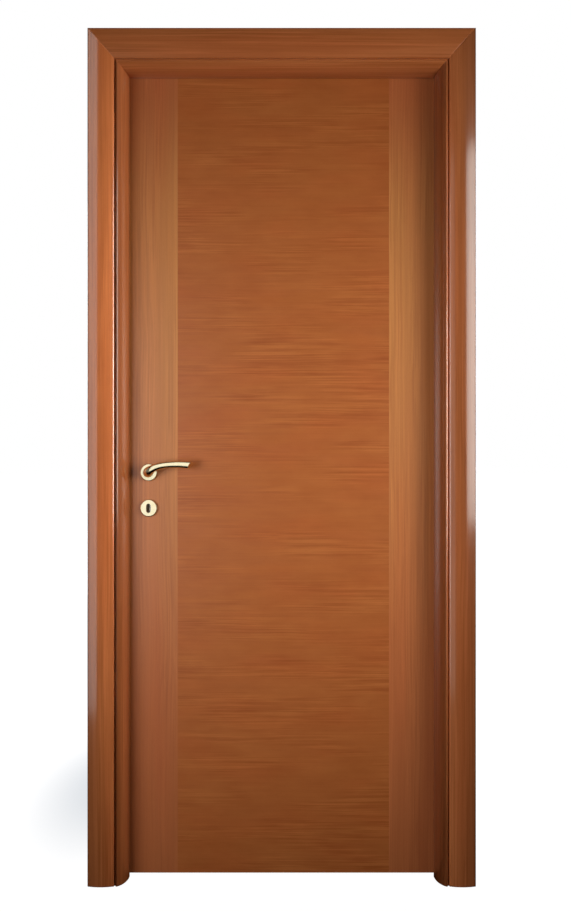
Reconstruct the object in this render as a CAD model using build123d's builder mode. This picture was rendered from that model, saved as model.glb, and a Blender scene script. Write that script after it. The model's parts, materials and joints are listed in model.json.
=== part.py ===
from build123d import *
import os
from math import acos, cos, degrees, radians, sin

# Interior door: a rebated flush leaf on three barrel hinges, in a round-nosed frame with architraves.
# Millimetres. +Z is up, the front faces -Y, and +X runs from the lock side to the hinge side.
# The origin is on the hinge jamb's wall face, at floor level, halfway through the wall.

# Clear opening and wall
clear_width = 800
clear_height = 2100
wall_thickness = 100

# Jambs: widths run outward from the clear opening
jamb_thickness = 44
jamb_back_inset = 5
jamb_back_rounding = 1.5
stop_width = 14
stop_land = 2
nose_width = 28
nose_reach = 38
nose_rounding = 3

# Architraves, with a tongue that enters a groove in the jamb
architrave_thickness = 12
architrave_edge_thickness = 6
upright_outer_edge = 100
head_outer_edge = 110
architrave_rounding = 3.5
joint_gap = 3.5
tongue_thickness = 3
tongue_length = 18
tongue_inset = 1.5
groove_side_clearance = 0.2
groove_end_clearance = 2

# Gasket in the stop
kerf_width = 3
kerf_depth = 7
kerf_inset = 3
kerf_clearance = 0.1
gasket_bulb_width = 7.5
gasket_leaf_gap = 0.5

# Leaf
leaf_thickness = 44
leaf_bottom_gap = 8
leaf_edge_gap = 7
leaf_stop_gap = 5
lip_width = 15
lip_thickness = 14
lip_rounding = 1.5
lip_gap = 5
skin_thickness = 4
stile_width = 95
top_rail_height = 95
bottom_rail_height = 120
lock_band_width = 133
hinge_band_width = 124

# Barrel hinges, with an inclined stud in the leaf and a straight stud in the jamb
bottom_hinge_height = 250
top_hinge_drop = 230
barrel_radius = 7
barrel_length = 32
barrel_rounding = 4
barrel_lip_clearance = 2
barrel_end_gap = 0.4
pin_radius = 4
pin_length = 26
pin_clearance = 0.05
stud_radius = 2.5
stud_bore_clearance = 0.05
stud_depth = 28
stud_root = 5
leaf_stud_angle = 20.5
back_reveal = 14

# Mortise lock
lever_height = 1063
key_drop = 94
lock_backset = 57
forend_width = 18
forend_height = 235
forend_thickness = 2.5
forend_fit = 0.2
case_thickness = 14
case_depth = 78
case_height = 165
mortise_clearance = 0.5
bolt_thickness = 10
latch_height = 16
dead_bolt_height = 28
bolt_length = 22
bolt_projection = 1.5
bolt_clearance = 0.2
bolt_bevel = 1
keyway_width = 6
keyway_height = 19
keyway_depth = 5
spindle_hole_radius = 9
key_slot_width = 12.5
key_slot_height = 24.5

# Strike plate
strike_width = 18
strike_height = 190
strike_thickness = 2
strike_hole_margin = 2
strike_pocket_depth = 14

# Countersunk screws of the forend and the strike plate
screw_head_radius = 3.8
screw_shank_radius = 1.8
screw_length = 18
screw_end_inset = 10
screw_fit = 0.1
recess_length = 4.4
recess_width = 1
recess_depth = 0.9

# Roses and levers
rose_radius = 23
rose_thickness = 9
rose_crown = 1
rose_rim_height = 5
rose_wall = 2
neck_radius = 12
neck_clearance = 0.4
neck_leaf_gap = 1
neck_length = 24
grip_standoff = 46
tip_reach = 112.5
tip_height = 20.3
tip_cut_direction = (-0.7, 0.6, 0.38)
spindle_size = 8
socket_depth = 22

# Stations along the lever, from its neck round the elbow to its tip: distance from the spindle,
# height above it, place in front of the grip's line, slope and turn out of the spindle's line in degrees,
# height and depth of the oval section
lever_stations = (
    (0, 0, neck_length - grip_standoff, 30, 0, 2 * neck_radius, 2 * neck_radius),
    (0.6, 0.8, -13.5, 30, 16.5, 25, 24.7),
    (4.3, 4.3, -5.1, 30, 42, 24.5, 22.5),
    (10.5, 8.8, -1, 29, 66, 21.5, 18),
    (18, 13.1, 0, 24, 84, 19, 15.5),
    (26, 16.1, 0, 18, 90, 17.6, 13.8),
    (38, 19, 0, 10, 90, 16.4, 12.2),
    (56, 21.2, 0, 4, 90, 16.4, 11.4),
    (76, 22, 0, 0, 90, 17, 11),
    (98, 21.2, 0, -4, 90, 17.8, 10.6),
    (122, 19.2, 0, -5, 90, 18.6, 10.4),
)

# Depths through the wall
wall_front = -wall_thickness / 2
wall_back = wall_thickness / 2
frame_front = wall_front - architrave_thickness
jamb_back = wall_back - jamb_back_inset
lip_front = jamb_back + lip_gap
leaf_back = lip_front + lip_thickness
leaf_front = leaf_back - leaf_thickness
leaf_middle = (leaf_front + leaf_back) / 2
core_front = leaf_front + skin_thickness
core_back = leaf_back - skin_thickness
stop_face = leaf_front - leaf_stop_gap
nose_end = stop_face - stop_land
lock_middle = (leaf_front + lip_front) / 2

# Widths and heights
half_clear = clear_width / 2
centre_x = -(half_clear + jamb_thickness)
leaf_half = half_clear + stop_width - leaf_edge_gap
lip_half = leaf_half + lip_width
lip_edge = lip_half - half_clear
leaf_bottom = leaf_bottom_gap
leaf_top = clear_height + stop_width - leaf_edge_gap
lip_top = leaf_top + lip_width
front_architrave_inner_edge = nose_width + joint_gap
back_architrave_inner_edge = lip_edge + back_reveal
field_left = centre_x - leaf_half + lock_band_width
field_right = centre_x + leaf_half - hinge_band_width

# Lock and hinge axes
lock_edge_x = centre_x - leaf_half
lever_x = lock_edge_x + lock_backset
key_height = lever_height - key_drop
lock_centre_height = (lever_height + key_height) / 2
forend_screw_spread = forend_height / 2 - screw_end_inset
forend_screw_heights = (lock_centre_height - forend_screw_spread, lock_centre_height + forend_screw_spread)
strike_screw_spread = strike_height / 2 - screw_end_inset
strike_screw_heights = (lock_centre_height - strike_screw_spread, lock_centre_height + strike_screw_spread)
hinge_x = centre_x + lip_half + barrel_lip_clearance + barrel_radius
hinge_y = leaf_back
top_hinge_height = clear_height - top_hinge_drop
hinge_heights = (bottom_hinge_height, (bottom_hinge_height + top_hinge_height) / 2, top_hinge_height)

# Frame members: where the section starts and which way it grows outward
member_start = {
    "left": (centre_x - half_clear, 0, 0),
    "right": (centre_x + half_clear, 0, 0),
    "head": (centre_x, 0, clear_height),
}
member_outward = {"left": (-1, 0, 0), "right": (1, 0, 0), "head": (0, 0, 1)}
member_outer_edge = {"left": upright_outer_edge, "right": upright_outer_edge, "head": head_outer_edge}
member_reach = clear_width + clear_height


def save(piece, name):
    """Label a finished piece and write it."""
    piece.part.label = name
    export_step(piece.part, f"parts/{name}.step")


def section_plane(member, depth, facing):
    """Plane of a member's section: x runs outward from the clear opening, y towards facing."""
    outward = Vector(*member_outward[member])
    origin = Vector(*member_start[member]) + Vector(0, depth, 0)
    return Plane(origin=origin, x_dir=outward, z_dir=outward.cross(Vector(0, facing, 0)))


def mitre(side, inner_edge, head_width, upright_width):
    """Plane of a mitre from the inner corner of its members, facing the upright. side is -1 or 1."""
    corner = (centre_x + side * (half_clear + inner_edge), 0, clear_height + inner_edge)
    return Plane(corner, z_dir=(side * head_width, 0, -upright_width))


def frame_member(member, section, inner_edge=0, head_width=jamb_thickness, upright_width=jamb_thickness):
    """A moulding of this section, cut off at the floor and at its mitres."""
    left = mitre(-1, inner_edge, head_width, upright_width)
    right = mitre(1, inner_edge, head_width, upright_width)
    ends = {"left": (Plane.XY, left), "right": (Plane.XY, right), "head": (-left, -right)}
    with BuildPart() as piece:
        extrude(section, amount=member_reach, both=True)
        for end in ends[member]:
            split(bisect_by=end, keep=Keep.TOP)
    return piece


def jamb_section(member):
    """Elliptical nose, shoulder for the architrave, wall face, rebate and stop, with three grooves."""
    nose_angle = degrees(acos((nose_reach - nose_width) / nose_reach))
    groove_width = tongue_thickness + 2 * groove_side_clearance
    groove_inset = tongue_inset - groove_side_clearance
    groove_length = tongue_length + groove_end_clearance
    with BuildSketch(section_plane(member, 0, 1)) as section:
        with BuildLine():
            nose = EllipticalCenterArc(
                (nose_reach, nose_end),
                nose_reach,
                nose_end - frame_front,
                start_angle=180,
                arc_size=nose_angle,
            )
            Polyline(
                nose @ 1,
                (nose_width, wall_front),
                (jamb_thickness, wall_front),
                (jamb_thickness, jamb_back),
                (stop_width, jamb_back),
                (stop_width, stop_face),
                (0, stop_face),
                nose @ 0,
            )
        make_face()
        fillet(section.vertices().group_by(Axis.Y)[0], nose_rounding)
        fillet(section.vertices().group_by(Axis.Y)[-1].sort_by(Axis.X)[0], jamb_back_rounding)
        with Locations((front_architrave_inner_edge + groove_inset, wall_front)):
            Rectangle(groove_width, groove_length, align=(Align.MIN, Align.MIN), mode=Mode.SUBTRACT)
        with Locations((back_architrave_inner_edge + groove_inset, wall_back)):
            Rectangle(groove_width, groove_length, align=(Align.MIN, Align.MAX), mode=Mode.SUBTRACT)
        with Locations((kerf_inset, stop_face)):
            Rectangle(kerf_width, kerf_depth, align=(Align.MIN, Align.MAX), mode=Mode.SUBTRACT)
    return section.sketch


def board_section(member, facing, inner_edge):
    """Crowned board of an architrave with rounded edges, lying on the wall."""
    outer_edge = member_outer_edge[member]
    with BuildSketch(section_plane(member, facing * wall_thickness / 2, facing)) as section:
        with BuildLine():
            crown = ThreePointArc(
                (inner_edge, architrave_edge_thickness),
                ((inner_edge + outer_edge) / 2, architrave_thickness),
                (outer_edge, architrave_edge_thickness),
            )
            Polyline(crown @ 1, (outer_edge, 0), (inner_edge, 0), crown @ 0)
        make_face()
        fillet(section.vertices().group_by(Axis.Y)[-1], architrave_rounding)
    return section.sketch


def tongue_section(member, facing, inner_edge):
    """Tongue behind an architrave's inner edge."""
    with BuildSketch(section_plane(member, facing * wall_thickness / 2, facing)) as section:
        with Locations((inner_edge + tongue_inset, 0)):
            Rectangle(tongue_thickness, tongue_length, align=(Align.MIN, Align.MAX))
    return section.sketch


def architrave(member, facing, inner_edge):
    """Board mitred over its own width, with a tongue mitred like the jamb's groove."""
    head_width = head_outer_edge - inner_edge
    upright_width = upright_outer_edge - inner_edge
    board = board_section(member, facing, inner_edge)
    with BuildPart() as piece:
        add(frame_member(member, board, inner_edge, head_width, upright_width).part)
        add(frame_member(member, tongue_section(member, facing, inner_edge)).part)
    return piece


def gasket_section(member):
    """Half-round bulb on the stop's face, with a stem in the kerf."""
    stem_centre = kerf_inset + kerf_width / 2
    stem_width = kerf_width - 2 * kerf_clearance
    with BuildSketch(section_plane(member, 0, 1)) as section:
        with BuildLine():
            bulb = EllipticalCenterArc(
                (stem_centre, stop_face), gasket_bulb_width / 2, leaf_stop_gap - gasket_leaf_gap, arc_size=180
            )
            Line(bulb @ 1, bulb @ 0)
        make_face()
        with Locations((stem_centre, stop_face)):
            Rectangle(stem_width, kerf_depth - kerf_clearance, align=(Align.CENTER, Align.MAX))
    return section.sketch


def stile(side):
    """Upright of the leaf's core with the rebate lip, which also runs over its top. side is -1 or 1."""
    inner = centre_x + side * (leaf_half - stile_width)
    outer = centre_x + side * leaf_half
    edge = centre_x + side * lip_half
    with BuildPart() as piece:
        with BuildSketch(Plane.XY.offset(leaf_bottom)):
            with BuildLine():
                Polyline(
                    (inner, core_front),
                    (outer, core_front),
                    (outer, lip_front),
                    (edge, lip_front),
                    (edge, core_back),
                    (inner, core_back),
                    close=True,
                )
            make_face()
        extrude(amount=lip_top - leaf_bottom)
        with BuildSketch(Plane((inner, core_front, leaf_top), x_dir=(side, 0, 0), z_dir=(0, 0, side))):
            Rectangle(stile_width + lip_width, lip_front - core_front, align=(Align.MIN, Align.MIN))
        extrude(amount=side * lip_width, mode=Mode.SUBTRACT)
    return piece


def rail(points):
    """Cross-piece of the leaf's core between the stiles, from its outline in depth and height."""
    length = 2 * (leaf_half - stile_width)
    with BuildPart() as piece:
        with BuildSketch(Plane.YZ.offset(centre_x - length / 2)):
            with BuildLine():
                Polyline(*points, close=True)
            make_face()
        extrude(amount=length)
    return piece


def skin(left, right, top, front):
    """Veneered sheet of the leaf's face between two uprights' lines."""
    with BuildPart() as piece:
        with BuildSketch(Plane((left, front, leaf_bottom), x_dir=(1, 0, 0), z_dir=(0, -1, 0))):
            Rectangle(right - left, top - leaf_bottom, align=(Align.MIN, Align.MIN))
        extrude(amount=-skin_thickness)
    return piece


def lock_holes(spindle_radius, slot_height, slot_width, depth):
    """Outline of the spindle hole and the key slot, on a plane across the leaf at this depth."""
    with BuildSketch(Plane((lever_x, depth, 0), x_dir=(1, 0, 0), z_dir=(0, -1, 0))) as holes:
        with Locations((0, lever_height)):
            Circle(spindle_radius)
        with Locations((0, key_height)):
            SlotOverall(slot_height, slot_width, rotation=90)
    return holes.sketch


def bolt_outline(plane_x, side, latch, dead, thickness):
    """Outlines of the latch and the dead bolt on a plane across the lock's edge."""
    with BuildSketch(Plane((plane_x, lock_middle, 0), x_dir=(0, -side, 0), z_dir=(-side, 0, 0))) as outline:
        with Locations((0, lever_height)):
            Rectangle(thickness, latch)
        with Locations((0, key_height)):
            Rectangle(thickness, dead)
    return outline.sketch


def edge_plate(plane_x, width, height):
    """Outline of a plate on the lock's edge, centred on the lock."""
    centre = (plane_x, lock_middle, lock_centre_height)
    with BuildSketch(Plane(centre, x_dir=(0, 1, 0), z_dir=(1, 0, 0))) as plate:
        Rectangle(width, height)
    return plate.sketch


def screw(face_x, inward, height, fit=0):
    """Countersunk screw flush with a plate on the lock's edge, or with a fit its hole. inward is -1 or 1."""
    head = screw_head_radius + fit
    shank = screw_shank_radius + fit
    with BuildPart() as piece:
        with BuildSketch(Plane((face_x, lock_middle, height), x_dir=(0, 0, 1), z_dir=(0, inward, 0))):
            with BuildLine():
                Polyline(
                    (0, 0),
                    (head, 0),
                    (shank, head - shank),
                    (shank, screw_length + fit),
                    (0, screw_length + fit),
                    close=True,
                )
            make_face()
        revolve(axis=Axis((face_x, lock_middle, height), (1, 0, 0)))
    return piece


def recessed_screw(face_x, inward, height):
    """Screw with a cross recess in its head."""
    with BuildPart() as piece:
        add(screw(face_x, inward, height).part)
        with BuildSketch(Plane((face_x, lock_middle, height), x_dir=(0, 0, 1), z_dir=(inward, 0, 0))):
            Rectangle(recess_length, recess_width)
            Rectangle(recess_width, recess_length)
        extrude(amount=recess_depth, mode=Mode.SUBTRACT)
    return piece


def rose_plane(height):
    """Plane through a rose's axis: x runs outward from the axis, y out of the leaf's front face."""
    return Plane((lever_x, leaf_front, height), x_dir=(1, 0, 0), z_dir=(0, 0, -1))


def rose(height, hole_radius):
    """Hollow disc with a rounded rim and a low crown, and a hole for what passes through it."""
    rim = rose_thickness - rose_crown
    with BuildPart() as piece:
        with BuildSketch(rose_plane(height)):
            with BuildLine():
                Line((rose_radius - rose_wall, 0), (rose_radius, 0))
                Line((rose_radius, 0), (rose_radius, rose_rim_height))
                corner = rim - rose_rim_height
                RadiusArc((rose_radius, rose_rim_height), (rose_radius - corner, rim), -corner)
                Line((rose_radius - corner, rim), (hole_radius, rose_thickness))
                Line((hole_radius, rose_thickness), (hole_radius, rose_rim_height))
                Line((hole_radius, rose_rim_height), (rose_radius - rose_wall, rose_rim_height))
                Line((rose_radius - rose_wall, rose_rim_height), (rose_radius - rose_wall, 0))
            make_face()
        revolve(axis=Axis((lever_x, leaf_front, height), (0, 1, 0)))
    return piece


def station_plane(reach, rise, front, slope, turn):
    """Plane across the lever: x is the section's height and y its depth."""
    along = radians(slope)
    out = radians(turn)
    origin = (lever_x + reach, leaf_front - grip_standoff - front, lever_height + rise)
    heading = (sin(out) * cos(along), -cos(out), sin(out) * sin(along))
    return Plane(origin, x_dir=(-sin(along), 0, cos(along)), z_dir=heading)


def hinge_plane(height):
    """Plane through the hinge axis: x runs outward from the axis and y up."""
    return Plane((hinge_x, hinge_y, height), x_dir=(1, 0, 0), z_dir=(0, -1, 0))


def leaf_stud_plane(height):
    """Plane across the leaf's stud at the hinge axis, looking down into the leaf."""
    angle = radians(leaf_stud_angle)
    middle = height + barrel_length / 2
    return Plane((hinge_x, hinge_y, middle), x_dir=(0, 0, 1), z_dir=(-cos(angle), -sin(angle), 0))


def stud_bores():
    """Bores for the inclined studs, to be cut from the pieces at the leaf's hinge edge."""
    for height in hinge_heights:
        with BuildSketch(leaf_stud_plane(height)) as bore:
            Circle(stud_radius + stud_bore_clearance)
        yield bore.sketch


os.makedirs("parts", exist_ok=True)

leaf_stud_reach = (barrel_radius + barrel_lip_clearance) / cos(radians(leaf_stud_angle)) + stud_depth
strike_face_x = centre_x - half_clear - stop_width
strike_holes = bolt_outline(
    strike_face_x,
    1,
    latch_height + 2 * strike_hole_margin,
    dead_bolt_height + 2 * strike_hole_margin,
    bolt_thickness + 2 * strike_hole_margin,
)
leaf_mirror = Plane((0, leaf_middle, 0), z_dir=(0, 1, 0))

# Jambs
head_jamb = frame_member("head", jamb_section("head"))
save(head_jamb, "head_jamb")

with BuildPart() as strike_jamb:
    add(frame_member("left", jamb_section("left")).part)
    strike_recess = edge_plate(strike_face_x, strike_width, strike_height)
    extrude(strike_recess, amount=-strike_thickness, mode=Mode.SUBTRACT)
    extrude(strike_holes, amount=strike_pocket_depth, mode=Mode.SUBTRACT)
    for height in strike_screw_heights:
        add(screw(strike_face_x, -1, height, screw_fit).part, mode=Mode.SUBTRACT)
save(strike_jamb, "strike_jamb")

with BuildPart() as hinge_jamb:
    add(frame_member("right", jamb_section("right")).part)
    for height in hinge_heights:
        with BuildSketch(Plane((hinge_x, jamb_back, height - barrel_length / 2), z_dir=(0, -1, 0))):
            Circle(stud_radius + stud_bore_clearance)
    extrude(amount=stud_depth, mode=Mode.SUBTRACT)
save(hinge_jamb, "hinge_jamb")

# Architraves and gaskets
for member in member_start:
    save(architrave(member, -1, front_architrave_inner_edge), f"front_architrave_{member}")
    save(architrave(member, 1, back_architrave_inner_edge), f"back_architrave_{member}")
    save(frame_member(member, gasket_section(member)), f"gasket_{member}")

# Strike plate
with BuildPart() as strike_plate:
    extrude(edge_plate(strike_face_x, strike_width, strike_height), amount=-strike_thickness)
    extrude(strike_holes, amount=strike_thickness, mode=Mode.SUBTRACT)
    for height in strike_screw_heights:
        add(screw(strike_face_x, -1, height, screw_fit).part, mode=Mode.SUBTRACT)
save(strike_plate, "strike_plate")

# Core of the leaf
with BuildPart() as lock_stile:
    add(stile(-1).part)
    extrude(
        edge_plate(lock_edge_x, forend_width + 2 * forend_fit, forend_height + 2 * forend_fit),
        amount=forend_thickness,
        mode=Mode.SUBTRACT,
    )
    extrude(
        edge_plate(lock_edge_x, case_thickness + 2 * mortise_clearance, case_height + 2 * mortise_clearance),
        amount=forend_thickness + case_depth + mortise_clearance,
        mode=Mode.SUBTRACT,
    )
    extrude(
        lock_holes(spindle_hole_radius, key_slot_height, key_slot_width, core_front),
        amount=core_front - core_back,
        mode=Mode.SUBTRACT,
    )
    for height in forend_screw_heights:
        add(screw(lock_edge_x, 1, height, screw_fit).part, mode=Mode.SUBTRACT)
save(lock_stile, "lock_stile")

with BuildPart() as hinge_stile:
    add(stile(1).part)
    for bore in stud_bores():
        extrude(bore, amount=leaf_stud_reach, mode=Mode.SUBTRACT)
save(hinge_stile, "hinge_stile")

top_rail = rail(
    (
        (core_front, leaf_top - top_rail_height),
        (core_front, leaf_top),
        (lip_front, leaf_top),
        (lip_front, lip_top),
        (core_back, lip_top),
        (core_back, leaf_top - top_rail_height),
    )
)
save(top_rail, "top_rail")

bottom_rail = rail(
    (
        (core_front, leaf_bottom),
        (core_front, leaf_bottom + bottom_rail_height),
        (core_back, leaf_bottom + bottom_rail_height),
        (core_back, leaf_bottom),
    )
)
save(bottom_rail, "bottom_rail")

# Faces of the leaf: two upright bands and a field between them
save(skin(field_left, field_right, leaf_top, leaf_front), "front_field")
save(skin(field_right, centre_x + leaf_half, leaf_top, leaf_front), "front_hinge_band")

with BuildPart() as back_field:
    add(skin(field_left, field_right, lip_top, core_back).part)
    back_edges = back_field.faces().sort_by(Axis.Y)[-1].edges()
    fillet(back_edges.sort_by(Axis.Z)[-1], lip_rounding)
save(back_field, "back_field")

with BuildPart() as back_hinge_band:
    add(skin(field_right, centre_x + lip_half, lip_top, core_back).part)
    back_edges = back_hinge_band.faces().sort_by(Axis.Y)[-1].edges()
    fillet((back_edges.sort_by(Axis.Z)[-1], back_edges.sort_by(Axis.X)[-1]), lip_rounding)
    for bore in stud_bores():
        extrude(bore, amount=leaf_stud_reach, mode=Mode.SUBTRACT)
save(back_hinge_band, "back_hinge_band")

with BuildPart() as front_lock_band:
    add(skin(lock_edge_x, field_left, leaf_top, leaf_front).part)
    holes = lock_holes(spindle_hole_radius, key_slot_height, key_slot_width, leaf_front)
    extrude(holes, amount=-skin_thickness, mode=Mode.SUBTRACT)
save(front_lock_band, "front_lock_band")

with BuildPart() as back_lock_band:
    add(skin(centre_x - lip_half, field_left, lip_top, core_back).part)
    back_edges = back_lock_band.faces().sort_by(Axis.Y)[-1].edges()
    fillet((back_edges.sort_by(Axis.Z)[-1], back_edges.sort_by(Axis.X)[0]), lip_rounding)
    holes = lock_holes(spindle_hole_radius, key_slot_height, key_slot_width, core_back)
    extrude(holes, amount=-skin_thickness, mode=Mode.SUBTRACT)
save(back_lock_band, "back_lock_band")

# Mortise lock: forend and case, with a blind keyway on each side
with BuildPart() as mortise_lock:
    extrude(edge_plate(lock_edge_x, forend_width, forend_height), amount=forend_thickness)
    extrude(edge_plate(lock_edge_x + forend_thickness, case_thickness, case_height), amount=case_depth)
    extrude(
        bolt_outline(
            lock_edge_x,
            -1,
            latch_height + 2 * bolt_clearance,
            dead_bolt_height + 2 * bolt_clearance,
            bolt_thickness + 2 * bolt_clearance,
        ),
        amount=bolt_length - bolt_projection,
        mode=Mode.SUBTRACT,
    )
    for side in (-1, 1):
        keyway_centre = (lever_x, lock_middle + side * case_thickness / 2, key_height)
        with BuildSketch(Plane(keyway_centre, x_dir=(side, 0, 0), z_dir=(0, -side, 0))):
            SlotOverall(keyway_height, keyway_width, rotation=90)
        extrude(amount=keyway_depth, mode=Mode.SUBTRACT)
    with BuildSketch(Plane((lever_x, lock_middle, lever_height), z_dir=(0, -1, 0))):
        Circle(spindle_hole_radius)
    extrude(amount=case_thickness, both=True, mode=Mode.SUBTRACT)
    for height in forend_screw_heights:
        add(screw(lock_edge_x, 1, height, screw_fit).part, mode=Mode.SUBTRACT)
save(mortise_lock, "mortise_lock")

for name, height, bolt_height in (
    ("latch_bolt", lever_height, latch_height),
    ("dead_bolt", key_height, dead_bolt_height),
):
    with BuildPart() as bolt:
        bolt_end = (lock_edge_x - bolt_projection, lock_middle, height)
        with BuildSketch(Plane(bolt_end, x_dir=(0, 1, 0), z_dir=(1, 0, 0))):
            Rectangle(bolt_thickness, bolt_height)
        extrude(amount=bolt_length)
        chamfer(bolt.faces().sort_by(Axis.X)[0].edges(), bolt_bevel)
    save(bolt, name)

# Screws of the forend and the strike plate
for position, height in zip(("bottom", "top"), forend_screw_heights):
    save(recessed_screw(lock_edge_x, 1, height), f"forend_screw_{position}")
for position, height in zip(("bottom", "top"), strike_screw_heights):
    save(recessed_screw(strike_face_x, -1, height), f"strike_screw_{position}")

# Roses and escutcheons, in front and mirrored behind
front_rose = rose(lever_height, neck_radius + neck_clearance)
save(front_rose, "front_lever_rose")

with BuildPart() as back_rose:
    mirror(front_rose.part, about=leaf_mirror)
save(back_rose, "back_lever_rose")

with BuildPart() as front_escutcheon:
    add(rose(key_height, 0).part)
    with BuildSketch(Plane((lever_x, leaf_front, key_height), x_dir=(1, 0, 0), z_dir=(0, -1, 0))):
        SlotOverall(key_slot_height, key_slot_width, rotation=90)
    extrude(amount=rose_thickness, mode=Mode.SUBTRACT)
save(front_escutcheon, "front_key_escutcheon")

with BuildPart() as back_escutcheon:
    mirror(front_escutcheon.part, about=leaf_mirror)
save(back_escutcheon, "back_key_escutcheon")

# Levers: a round neck that turns through an elbow into a horn-shaped grip with a slanted end.
# Each section is drawn as four quarters of an oval, which keep the surface from twisting.
with BuildPart() as front_lever:
    with BuildSketch(Plane((lever_x, leaf_front - neck_leaf_gap, lever_height), z_dir=(0, -1, 0))):
        Circle(neck_radius)
    extrude(amount=neck_length - neck_leaf_gap)
    for reach, rise, front, slope, turn, oval_height, oval_depth in lever_stations:
        with BuildSketch(station_plane(reach, rise, front, slope, turn)):
            with BuildLine():
                for quarter in (0, 90, 180, 270):
                    EllipticalCenterArc(
                        (0, 0), oval_height / 2, oval_depth / 2, start_angle=quarter, arc_size=90
                    )
            make_face()
    loft()
    tip = (lever_x + tip_reach, leaf_front - grip_standoff, lever_height + tip_height)
    split(bisect_by=Plane(tip, z_dir=tip_cut_direction), keep=Keep.TOP)
    with BuildSketch(Plane((lever_x, leaf_front - neck_leaf_gap, lever_height), z_dir=(0, -1, 0))):
        Rectangle(spindle_size, spindle_size)
    extrude(amount=socket_depth, mode=Mode.SUBTRACT)
save(front_lever, "front_lever")

with BuildPart() as back_lever:
    mirror(front_lever.part, about=leaf_mirror)
save(back_lever, "back_lever")

with BuildPart() as spindle:
    with BuildSketch(Plane((lever_x, leaf_middle, lever_height), z_dir=(0, -1, 0))):
        Rectangle(spindle_size, spindle_size)
    extrude(amount=leaf_thickness / 2 + neck_leaf_gap + socket_depth, both=True)
save(spindle, "spindle")

# Hinges: the frame's half is below and carries the pin, the leaf's half is above and drops onto it
for position, height in zip(("bottom", "middle", "top"), hinge_heights):
    with BuildPart() as frame_hinge:
        with BuildSketch(hinge_plane(height)) as profile:
            with BuildLine():
                Polyline(
                    (0, pin_length),
                    (pin_radius, pin_length),
                    (pin_radius, 0),
                    (barrel_radius, 0),
                    (barrel_radius, -barrel_length),
                    (0, -barrel_length),
                    close=True,
                )
            make_face()
            fillet(profile.vertices().group_by(Axis.Y)[0].sort_by(Axis.X)[-1], barrel_rounding)
        revolve(axis=Axis((hinge_x, hinge_y, height), (0, 0, 1)))
        with BuildSketch(Plane((hinge_x, hinge_y, height - barrel_length / 2), z_dir=(0, -1, 0))):
            Circle(stud_radius)
        extrude(amount=hinge_y - jamb_back + stud_depth)
    save(frame_hinge, f"frame_hinge_{position}")

    with BuildPart() as leaf_hinge:
        bore_radius = pin_radius + pin_clearance
        bore_top = pin_length + barrel_end_gap
        with BuildSketch(hinge_plane(height)) as profile:
            with BuildLine():
                Polyline(
                    (0, bore_top),
                    (bore_radius, bore_top),
                    (bore_radius, barrel_end_gap),
                    (barrel_radius, barrel_end_gap),
                    (barrel_radius, barrel_length),
                    (0, barrel_length),
                    close=True,
                )
            make_face()
            fillet(profile.vertices().group_by(Axis.Y)[-1].sort_by(Axis.X)[-1], barrel_rounding)
        revolve(axis=Axis((hinge_x, hinge_y, height), (0, 0, 1)))
        with BuildSketch(leaf_stud_plane(height).offset(stud_root)):
            Circle(stud_radius)
        extrude(amount=leaf_stud_reach - stud_root)
    save(leaf_hinge, f"leaf_hinge_{position}")
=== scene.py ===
import json
import math
from typing import NamedTuple

import bpy
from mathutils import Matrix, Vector

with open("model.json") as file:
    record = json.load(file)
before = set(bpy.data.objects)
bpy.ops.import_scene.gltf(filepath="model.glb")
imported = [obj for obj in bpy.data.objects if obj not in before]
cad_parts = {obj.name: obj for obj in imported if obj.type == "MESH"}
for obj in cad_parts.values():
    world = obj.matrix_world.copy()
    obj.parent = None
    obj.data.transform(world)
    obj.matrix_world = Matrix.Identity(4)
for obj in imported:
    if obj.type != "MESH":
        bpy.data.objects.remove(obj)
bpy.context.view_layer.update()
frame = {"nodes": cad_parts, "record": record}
nodes = frame["nodes"]
subparts = frame["record"]["subparts"]
scene = bpy.context.scene

# Metres, in the row frame: +Z is up, the front faces -Y, and the lock is on the left, towards -X.

# Camera, at the photograph's viewing angle
CAMERA_PLACE = (-0.444, -3.162, 1.170)
CAMERA_TILT_DEG = 90
CAMERA_LENS_MM = 47.65
CAMERA_SENSOR_MM = 36.0
CAMERA_SHIFT = (0.0042, -0.0265)

# Wood colours, linear, and the tints that multiply them
FIELD_DARK = (0.365, 0.0855, 0.0155, 1)
FIELD_LIGHT = (0.551, 0.176, 0.0464, 1)
BAND_DARK = (0.404, 0.109, 0.0330, 1)
BAND_LIGHT = (0.565, 0.178, 0.0610, 1)
FRAME_DARK = (0.424, 0.113, 0.0296, 1)
FRAME_LIGHT = (0.641, 0.205, 0.0677, 1)
CLOUD_TINT = (1.00, 0.84, 0.80, 1)
PORE_TINT = (0.60, 0.50, 0.42, 1)
STRIP_TINT = (1.04, 1.06, 1.06, 1)
# Painted light: the warm tint of the pool of light painted on the bands
PAINTED_LIGHT_TINT = (1.18, 1.62, 1.50, 1)

# The bands: the field's middle and half width, the strip along each band's inner edge and the painted pool of
# warm light
FIELD_MIDDLE_X = -0.4395
FIELD_HALF = 0.2785
STRIP_WIDTH = 0.009
STRIP_BLUR = 0.0008
PAINTED_LIGHT_WIDTH = 0.085
PAINTED_LIGHT_OUTER_SHARE = 0.65
PAINTED_LIGHT_RISE = (0.25, 1.6)
PAINTED_LIGHT_FALL = (1.7, 2.12)

# Metal and rubber colours, linear
BRASS = (0.96, 0.86, 0.58, 1)
BRASS_DULL = (0.90, 0.77, 0.46, 1)
STEEL = (0.62, 0.58, 0.48, 1)
STEEL_DULL = (0.48, 0.45, 0.37, 1)
RUBBER = (0.42, 0.24, 0.12, 1)
RUBBER_DULL = (0.32, 0.18, 0.085, 1)


class Streak(NamedTuple):
    """A kind of streak in wood: its width across the grain, its length along it and its share."""

    width: float
    length: float
    share: float


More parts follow.
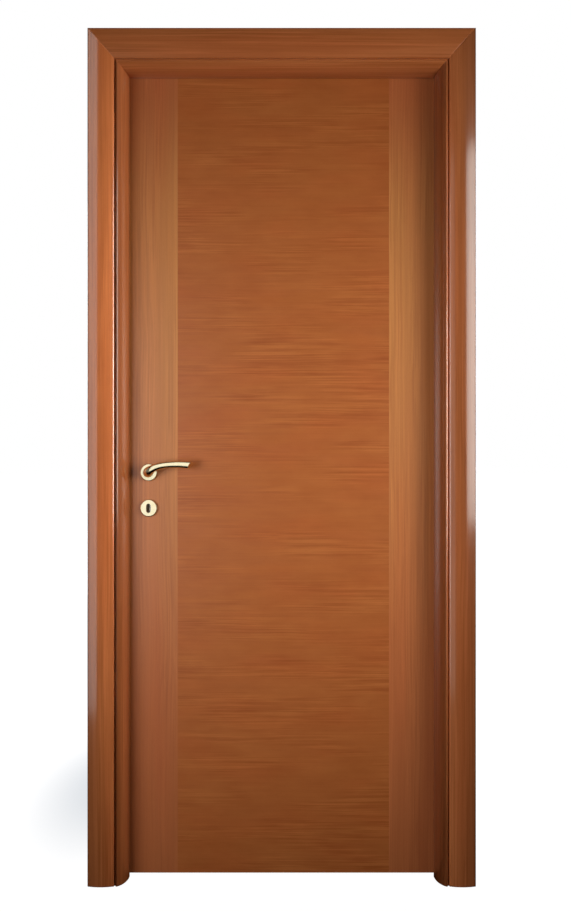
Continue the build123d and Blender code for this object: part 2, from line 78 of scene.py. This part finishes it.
# The noise values between which each kind of streak goes from none to full
LINE_EDGES = (0.32, 0.68)
RIBBON_EDGES = (0.42, 0.62)
PORE_EDGES = (0.60, 0.72)
CLOUD_EDGES = (0.40, 0.70)

# What all the woods have alike: the grain's sways per metre, pores, clouds, gloss and relief
SWAY_ALONG = 2.0
SWAY_ACROSS = 6.0
NOISE_MIDDLE = 0.5
PORES = Streak(0.0005, 0.012, 0.22)
CLOUD_SIZE = 2
CLOUD_SHARE = 0.45
WOOD_GLOSS = (0.35, 0.29)
LINE_RELIEF = 0.15
PORE_RELIEF = 0.5
RELIEF_DEPTH = 0.0001
RELIEF_STRENGTH = 0.25

# The lacquer's rounding over the frame's sharp edges
EDGE_ROUNDING = 0.005
EDGE_SAMPLES = 8

# Metal: cloudy tarnish and fine brushing
TARNISH_SCALE = 60.0
TARNISH_EDGES = (0.35, 0.75)
TARNISH_SHARE = 0.5
BRUSH_EDGES = (0.3, 0.7)
BRUSH_SMOOTHER = 0.03
BRUSH_ROUGHER = 0.04
BRUSH_DEPTH = 0.000002
BRUSH_STRENGTH = 0.05

# Rubber: fine grain
RUBBER_SCALE = 900.0
RUBBER_EDGES = (0.3, 0.7)
RUBBER_GLOSS = (0.5, 0.7)
RUBBER_DEPTH = 0.00005
RUBBER_STRENGTH = 0.3


class Graph:
    """A material's node tree, with one short method for each kind of node it uses."""

    def __init__(self, name):
        self.material = bpy.data.materials.new(name)
        self.material.use_nodes = True
        self.tree = self.material.node_tree
        self.shader = self.tree.nodes["Principled BSDF"]

    def put(self, value, socket):
        """Link another node's output to the socket, or set the socket to a plain value."""
        if isinstance(value, bpy.types.NodeSocket):
            self.tree.links.new(value, socket)
        else:
            socket.default_value = value

    def node(self, kind, inputs=(), **settings):
        made = self.tree.nodes.new(kind)
        for key, value in settings.items():
            setattr(made, key, value)
        for key, value in dict(inputs).items():
            self.put(value, made.inputs[key])
        return made

    def place(self):
        """The object's own coordinates, which are the row frame's."""
        return self.node("ShaderNodeTexCoord").outputs["Object"]

    def axes(self, vector):
        return self.node("ShaderNodeSeparateXYZ", {0: vector}).outputs

    def stretch(self, vector, scale):
        return self.node("ShaderNodeMapping", {"Vector": vector, "Scale": scale}).outputs[0]

    def noise(self, vector, scale=1.0, detail=2.0, roughness=0.5):
        inputs = {"Vector": vector, "Scale": scale, "Detail": detail, "Roughness": roughness}
        return self.node("ShaderNodeTexNoise", inputs).outputs

    def math(self, operation, a, b):
        return self.node("ShaderNodeMath", {0: a, 1: b}, operation=operation).outputs[0]

    def absolute(self, value):
        return self.node("ShaderNodeMath", {0: value}, operation="ABSOLUTE").outputs[0]

    def vector_math(self, operation, a, b):
        return self.node("ShaderNodeVectorMath", {0: a, 1: b}, operation=operation).outputs[0]

    def length(self, vector):
        return self.node("ShaderNodeVectorMath", {0: vector}, operation="LENGTH").outputs["Value"]

    def spread(self, value, low, high, to_low=0.0, to_high=1.0):
        inputs = {"Value": value, "From Min": low, "From Max": high, "To Min": to_low, "To Max": to_high}
        return self.node("ShaderNodeMapRange", inputs, interpolation_type="SMOOTHSTEP").outputs[0]

    def mix(self, share, a, b, blend="MIX"):
        inputs = {0: share, 6: a, 7: b}
        return self.node("ShaderNodeMix", inputs, data_type="RGBA", blend_type=blend).outputs[2]

    def rounded_edges(self, radius):
        return self.node("ShaderNodeBevel", {"Radius": radius}, samples=EDGE_SAMPLES).outputs[0]

    def bump(self, height, depth, strength, normal=None):
        made = self.node("ShaderNodeBump", {"Height": height, "Distance": depth, "Strength": strength})
        if normal:
            self.put(normal, made.inputs["Normal"])
        return made.outputs[0]

    def finish(self, **inputs):
        """Set the shader's sockets, given by their names with _ for a space."""
        for key, value in inputs.items():
            self.put(value, self.shader.inputs[key.replace("_", " ")])
        return self.material


def wood(name, along, dark, light, line, ribbon, patch, wave, seed, rounding=0.0):
    """Wood with its grain along one axis: ribbons of long fine lines on soft patches, with clouds and pores.

    The shares of line and patch are of the tone. The ribbon's is what the lines keep between two ribbons.
    """
    graph = Graph(name)
    grain_axis = "XYZ".index(along)

    def by_axis(with_grain, across):
        return [with_grain if axis == grain_axis else across for axis in range(3)]

    def share(value, amount):
        return graph.math("MULTIPLY", value, amount)

    def centred(value):
        return graph.math("SUBTRACT", value, NOISE_MIDDLE)

    place = graph.vector_math("ADD", graph.place(), (seed, 2 * seed, 3 * seed))
    sway = graph.noise(graph.stretch(place, by_axis(SWAY_ALONG, SWAY_ACROSS)))["Color"]
    sway = graph.vector_math("SUBTRACT", sway, (NOISE_MIDDLE, NOISE_MIDDLE, NOISE_MIDDLE))
    sway = graph.vector_math("MULTIPLY", sway, by_axis(0.0, wave))
    bent = graph.vector_math("ADD", place, sway)

    def streaks(kind, detail, roughness=0.5):
        scale = by_axis(1 / kind.length, 1 / kind.width)
        return graph.noise(graph.stretch(bent, scale), detail=detail, roughness=roughness)["Fac"]

    lines = graph.spread(streaks(line, detail=3, roughness=0.65), *LINE_EDGES)
    ribbons = graph.spread(streaks(ribbon, detail=1), *RIBBON_EDGES, ribbon.share, 1.0)
    patches = streaks(patch, detail=2)
    pores = graph.spread(streaks(PORES, detail=1), *PORE_EDGES)
    tone = graph.math("MULTIPLY", share(centred(lines), line.share), ribbons)
    tone = graph.math("ADD", tone, share(centred(patches), patch.share))
    tone = graph.math("ADD", tone, NOISE_MIDDLE)
    colour = graph.mix(tone, dark, light)
    cloud = Streak(CLOUD_SIZE * patch.width, CLOUD_SIZE * patch.length, CLOUD_SHARE)
    clouds = graph.spread(streaks(cloud, detail=1), *CLOUD_EDGES, 0.0, cloud.share)
    colour = graph.mix(clouds, colour, CLOUD_TINT, "MULTIPLY")
    colour = graph.mix(share(pores, PORES.share), colour, PORE_TINT, "MULTIPLY")
    gloss = graph.spread(lines, 0.0, 1.0, *WOOD_GLOSS)
    relief = graph.math("SUBTRACT", share(lines, LINE_RELIEF), share(pores, PORE_RELIEF))
    edges = graph.rounded_edges(rounding) if rounding else None
    return graph, colour, gloss, graph.bump(relief, RELIEF_DEPTH, RELIEF_STRENGTH, edges)


def lacquer(graph, colour, gloss, relief, sheen=0.5, coat=0.25, coat_gloss=0.16, coat_ior=1.5):
    return graph.finish(
        Base_Color=colour,
        Roughness=gloss,
        Normal=relief,
        Specular_IOR_Level=sheen,
        Coat_Weight=coat,
        Coat_Roughness=coat_gloss,
        Coat_IOR=coat_ior,
    )


def frame_wood(along):
    surface = wood(
        f"frame_wood_{along}",
        along,
        FRAME_DARK,
        FRAME_LIGHT,
        line=Streak(0.0050, 0.50, 0.80),
        ribbon=Streak(0.020, 0.50, 0.35),
        patch=Streak(0.024, 0.34, 0.8),
        wave=0.012,
        seed=1.7,
        rounding=EDGE_ROUNDING,
    )
    return lacquer(*surface, sheen=0.2, coat=1.0, coat_gloss=0.12, coat_ior=1.8)


def band_veneer():
    """Upright veneer with a lighter inner strip and painted light: a warm pool, brightest just above mid
    height and next to the field, dimmer towards the top, the bottom and the jambs.
    """
    graph, colour, gloss, relief = wood(
        "band_veneer",
        "Z",
        BAND_DARK,
        BAND_LIGHT,
        line=Streak(0.0048, 0.50, 0.65),
        ribbon=Streak(0.026, 0.60, 0.30),
        patch=Streak(0.030, 0.40, 0.6),
        wave=0.020,
        seed=4.3,
    )
    axes = graph.axes(graph.place())
    reach = graph.absolute(graph.math("SUBTRACT", axes["X"], FIELD_MIDDLE_X))
    # Painted light: a warm pool on the bands, strongest next to the field and just above mid height
    painted_light = graph.spread(reach, FIELD_HALF, FIELD_HALF + PAINTED_LIGHT_WIDTH, 1.0, PAINTED_LIGHT_OUTER_SHARE)
    painted_light = graph.math("MULTIPLY", painted_light, graph.spread(axes["Z"], *PAINTED_LIGHT_RISE))
    painted_light = graph.math("MULTIPLY", painted_light, graph.spread(axes["Z"], *PAINTED_LIGHT_FALL, 1.0, 0.0))
    colour = graph.mix(painted_light, colour, PAINTED_LIGHT_TINT, "MULTIPLY")
    strip_end = FIELD_HALF + STRIP_WIDTH
    strip = graph.spread(reach, strip_end - STRIP_BLUR, strip_end + STRIP_BLUR, 1.0, 0.0)
    return lacquer(graph, graph.mix(strip, colour, STRIP_TINT, "MULTIPLY"), gloss, relief)


def field_veneer():
    surface = wood(
        "field_veneer",
        "X",
        FIELD_DARK,
        FIELD_LIGHT,
        line=Streak(0.0046, 0.26, 0.70),
        ribbon=Streak(0.040, 0.22, 0.15),
        patch=Streak(0.035, 0.10, 0.7),
        wave=0.014,
        seed=7.9,
    )
    return lacquer(*surface)


def core_wood(along):
    surface = wood(
        f"core_wood_{along}",
        along,
        FRAME_DARK,
        FRAME_LIGHT,
        line=Streak(0.0050, 0.40, 0.70),
        ribbon=Streak(0.020, 0.40, 0.35),
        patch=Streak(0.020, 0.30, 0.7),
        wave=0.008,
        seed=9.1,
    )
    return lacquer(*surface)


def metal(name, bright, dull, gloss, brush):
    """Metal with faint cloudy tarnish and fine brushing along Z, given by its scale on each axis."""
    graph = Graph(name)
    place = graph.place()
    tarnish = graph.noise(place, TARNISH_SCALE, detail=3.0)["Fac"]
    lines = graph.noise(graph.stretch(place, brush))["Fac"]
    return graph.finish(
        Base_Color=graph.mix(graph.spread(tarnish, *TARNISH_EDGES, 0.0, TARNISH_SHARE), bright, dull),
        Metallic=1.0,
        Roughness=graph.spread(lines, *BRUSH_EDGES, gloss - BRUSH_SMOOTHER, gloss + BRUSH_ROUGHER),
        Normal=graph.bump(lines, BRUSH_DEPTH, BRUSH_STRENGTH),
    )


def rubber(name):
    graph = Graph(name)
    grain = graph.noise(graph.place(), RUBBER_SCALE)["Fac"]
    return graph.finish(
        Base_Color=graph.mix(grain, RUBBER_DULL, RUBBER),
        Roughness=graph.spread(grain, *RUBBER_EDGES, *RUBBER_GLOSS),
        Normal=graph.bump(grain, RUBBER_DEPTH, RUBBER_STRENGTH),
    )


def for_both(material):
    return {"level": material, "upright": material}


# Materials by slot, for level members and for upright ones
LEVEL_WORDS = ("head", "rail")
materials = {
    "frame_wood": {"level": frame_wood("X"), "upright": frame_wood("Z")},
    "core_wood": {"level": core_wood("X"), "upright": core_wood("Z")},
    "band_veneer": for_both(band_veneer()),
    "field_veneer": for_both(field_veneer()),
    "brass": for_both(metal("brass", BRASS, BRASS_DULL, gloss=0.22, brush=(900, 900, 200))),
    "lock_steel": for_both(metal("lock_steel", STEEL, STEEL_DULL, gloss=0.34, brush=(1600, 1600, 40))),
    "gasket_rubber": for_both(rubber("gasket_rubber")),
}
for subpart in subparts:
    level = any(word in subpart["node"] for word in LEVEL_WORDS)
    mesh = nodes[subpart["node"]].data
    mesh.materials.clear()
    mesh.materials.append(materials[subpart["material_slot"]]["level" if level else "upright"])


# The groups of nodes that the studio lights are linked to, by a word in the node's name
LIT_BY_WORD = (
    ("head", "head"),
    ("architrave_left", "left_board"),
    ("architrave_right", "right_board"),
    ("strike_jamb", "left_jamb"),
    ("hinge_jamb", "right_jamb"),
)


def lit_with(subpart):
    """The group for a subpart: brass is in fittings, and what no word names is in leaf."""
    if subpart["material_slot"] == "brass":
        return "fittings"
    for word, group in LIT_BY_WORD:
        if word in subpart["node"]:
            return group
    return "leaf"


lit_groups = {}
for subpart in subparts:
    group = lit_with(subpart)
    if group not in lit_groups:
        lit_groups[group] = bpy.data.collections.new(group)
    lit_groups[group].objects.link(nodes[subpart["node"]])


def light_box(name, place, target, size, spread, colour, watts):
    """Rectangular light aimed at a target. A smaller spread, in degrees, dims it more away from its axis."""
    light = bpy.data.lights.new(name, "AREA")
    light.shape = "RECTANGLE"
    light.size, light.size_y = size
    light.spread = math.radians(spread)
    light.energy = watts
    light.color = colour
    box = bpy.data.objects.new(name, light)
    scene.collection.objects.link(box)
    box.location = place
    box.rotation_euler = (Vector(target) - Vector(place)).to_track_quat("-Z", "Y").to_euler()
    return box


def softbox(name, place, target, size, spread, colour, **watts_by_group):
    """One light box for each lit group that is named, with the group's watts."""
    for group, watts in watts_by_group.items():
        box = light_box(f"{name}_{group}", place, target, size, spread, colour, watts)
        box.light_linking.receiver_collection = lit_groups[group]


# Studio light: warm from the right and the front, white from the left, panels for the brass, two boxes behind
WHITE = (1.0, 1.0, 1.0)
WARM = (1.0, 0.97, 0.90)
FITTINGS_MIDDLE = (-0.78, 0.0, 1.06)
softbox(
    "key",
    place=(1.00, -1.50, 1.55),
    target=(-0.30, 0.0, 1.40),
    size=(0.80, 1.50),
    spread=64,
    colour=WARM,
    left_board=11.5,
    left_jamb=3.4,
    right_jamb=1.6,
    right_board=2.1,
    head=5.2,
)
softbox(
    "side_right",
    place=(1.60, -0.95, 1.60),
    target=(-0.87, 0.0, 1.50),
    size=(1.10, 1.60),
    spread=110,
    colour=WARM,
    left_board=4.0,
    left_jamb=9.5,
)
softbox(
    "side_left",
    place=(-1.90, -1.50, 1.50),
    target=(-0.90, 0.0, 1.50),
    size=(0.85, 2.90),
    spread=150,
    colour=WHITE,
    left_board=6.0,
)
softbox(
    "key_low",
    place=(1.00, -1.50, 1.20),
    target=(-0.30, 0.0, 1.20),
    size=(0.80, 1.00),
    spread=70,
    colour=WARM,
    leaf=3.2,
    right_jamb=5.2,
    left_board=3.5,
)
softbox(
    "key_far",
    place=(1.60, -1.50, 1.50),
    target=(-0.20, 0.0, 1.40),
    size=(0.60, 1.90),
    spread=80,
    colour=WARM,
    leaf=3.3,
)
softbox(
    "inner",
    place=(-0.58, -1.80, 1.20),
    target=(0.0, 0.0, 1.20),
    size=(0.40, 2.20),
    spread=110,
    colour=WARM,
    right_board=0.5,
)
softbox(
    "fill",
    place=(-1.90, -1.50, 1.15),
    target=(-0.60, 0.0, 1.15),
    size=(0.85, 2.20),
    spread=150,
    colour=WHITE,
    left_jamb=1.5,
    right_jamb=2.5,
    right_board=15.0,
    head=9.4,
)
softbox(
    "fill_low",
    place=(-2.10, -2.40, 1.05),
    target=(-0.60, 0.0, 1.02),
    size=(1.50, 1.40),
    spread=75,
    colour=WHITE,
    leaf=9.8,
    right_jamb=2.0,
    right_board=4.5,
    head=4.0,
)
softbox(
    "panel",
    place=(-0.92, -1.80, 1.60),
    target=FITTINGS_MIDDLE,
    size=(1.80, 3.20),
    spread=180,
    colour=WHITE,
    fittings=19.5,
)
softbox(
    "panel_right",
    place=(1.90, -1.20, 1.30),
    target=FITTINGS_MIDDLE,
    size=(1.20, 2.20),
    spread=180,
    colour=WHITE,
    fittings=2.4,
)
softbox(
    "panel_left",
    place=(-2.60, -1.20, 1.30),
    target=FITTINGS_MIDDLE,
    size=(1.20, 2.20),
    spread=180,
    colour=WHITE,
    fittings=1.6,
)
softbox(
    "panel_back",
    place=(-0.45, 2.20, 1.50),
    target=(-0.60, 0.1, 1.06),
    size=(2.60, 2.60),
    spread=180,
    colour=WHITE,
    fittings=11.0,
)
light_box(
    "back_right",
    place=(1.6, 2.2, 1.6),
    target=(-0.4, 0.1, 1.2),
    size=(1.4, 1.8),
    spread=150,
    colour=WHITE,
    watts=30,
)
light_box(
    "back_left",
    place=(-2.4, 1.9, 1.3),
    target=(-0.5, 0.1, 1.2),
    size=(1.4, 1.8),
    spread=150,
    colour=WHITE,
    watts=22,
)

# White world that doesn't light the door
WORLD_COLOUR = (1, 1, 1, 1)
world = bpy.data.worlds.new("studio")
scene.world = world
world.use_nodes = True
world.node_tree.nodes["Background"].inputs["Color"].default_value = WORLD_COLOUR
world.cycles_visibility.diffuse = False
world.cycles_visibility.glossy = False

# Plain pale floor, paler with the distance, with a painted soft shadow behind the left foot
FLOOR_HALF = 30.0
FLOOR_COLOUR = (0.20, 0.20, 0.21, 1)
FLOOR_ROUGHNESS = 0.9
FLOOR_GLOW = (1, 1, 1, 1)
FLOOR_FADE = (1.0, 4.5)
FLOOR_STRENGTH = (1.0, 1.05)
SHADE_MIDDLE = (-0.98, 0.85, 0)
SHADE_REACH = (0.36, 0.95, 1)
SHADE_EDGES = (0.15, 1.0)
SHADE_COLOUR = (0.66, 0.69, 0.72, 1)
floor_corners = [(x * FLOOR_HALF, y * FLOOR_HALF, 0) for x, y in ((-1, -1), (1, -1), (1, 1), (-1, 1))]
floor_mesh = bpy.data.meshes.new("floor")
floor_mesh.from_pydata(floor_corners, [], [(0, 1, 2, 3)])
floor = bpy.data.objects.new("floor", floor_mesh)
scene.collection.objects.link(floor)
floor_graph = Graph("floor")
floor_place = floor_graph.place()
# Painted shadow: the floor's glow is darkened in a soft ellipse behind the left foot
shade_place = floor_graph.vector_math("SUBTRACT", floor_place, SHADE_MIDDLE)
shade_place = floor_graph.vector_math("DIVIDE", shade_place, SHADE_REACH)
shade = floor_graph.spread(floor_graph.length(shade_place), *SHADE_EDGES, 1.0, 0.0)
floor_mesh.materials.append(
    floor_graph.finish(
        Base_Color=FLOOR_COLOUR,
        Roughness=FLOOR_ROUGHNESS,
        Specular_IOR_Level=0.0,
        Emission_Color=floor_graph.mix(shade, FLOOR_GLOW, SHADE_COLOUR),
        Emission_Strength=floor_graph.spread(floor_graph.length(floor_place), *FLOOR_FADE, *FLOOR_STRENGTH),
    )
)
floor.visible_diffuse = False
floor.visible_glossy = False

camera_data = bpy.data.cameras.new("camera")
camera_data.lens = CAMERA_LENS_MM
camera_data.sensor_width = CAMERA_SENSOR_MM
camera_data.shift_x, camera_data.shift_y = CAMERA_SHIFT
camera = bpy.data.objects.new("camera", camera_data)
camera.location = CAMERA_PLACE
camera.rotation_euler = (math.radians(CAMERA_TILT_DEG), 0, 0)
scene.collection.objects.link(camera)
scene.camera = camera
scene.view_settings.view_transform = "Standard"
